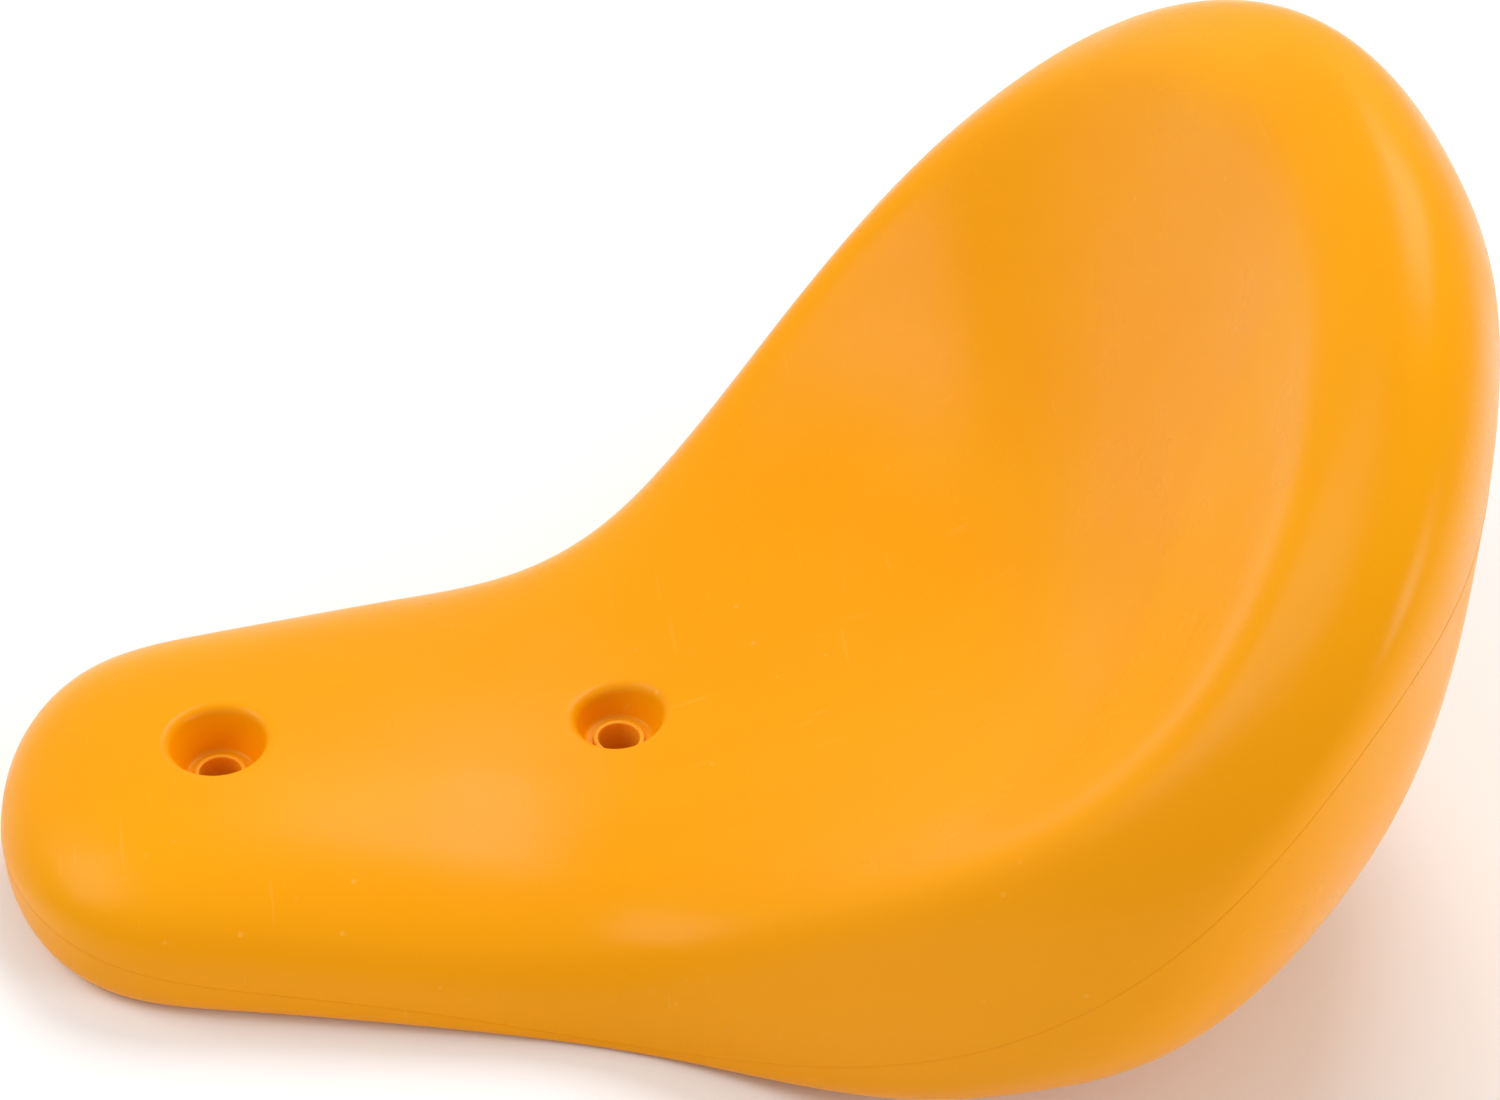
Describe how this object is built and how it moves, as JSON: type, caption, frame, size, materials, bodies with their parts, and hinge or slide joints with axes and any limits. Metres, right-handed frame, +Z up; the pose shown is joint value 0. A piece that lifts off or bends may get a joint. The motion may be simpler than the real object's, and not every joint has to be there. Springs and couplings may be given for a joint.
{
  "type": "ride-on seat",
  "caption": "Hollow moulded plastic seat with a narrow bolt-down nose, a wide dished back and a thick rolled rim, held by bolts through flanged bushes in round wells.",
  "frame": {"origin": "middle of the two-bolt pattern, on the flat underside of the nose", "axes": "+Z up out of the seat, nose towards -Y and dished back towards +Y, +X across the seat"},
  "size_m": [0.2782, 0.3445, 0.1877],
  "materials": {
    "orange_moulding": "satin, as moulded",
    "orange_bush": "satin, as moulded"
  },
  "bodies": {
    "root": {"seat_shell": "orange_moulding", "front_spacer_bush": "orange_bush", "rear_spacer_bush": "orange_bush"}
  },
  "joints": []
}
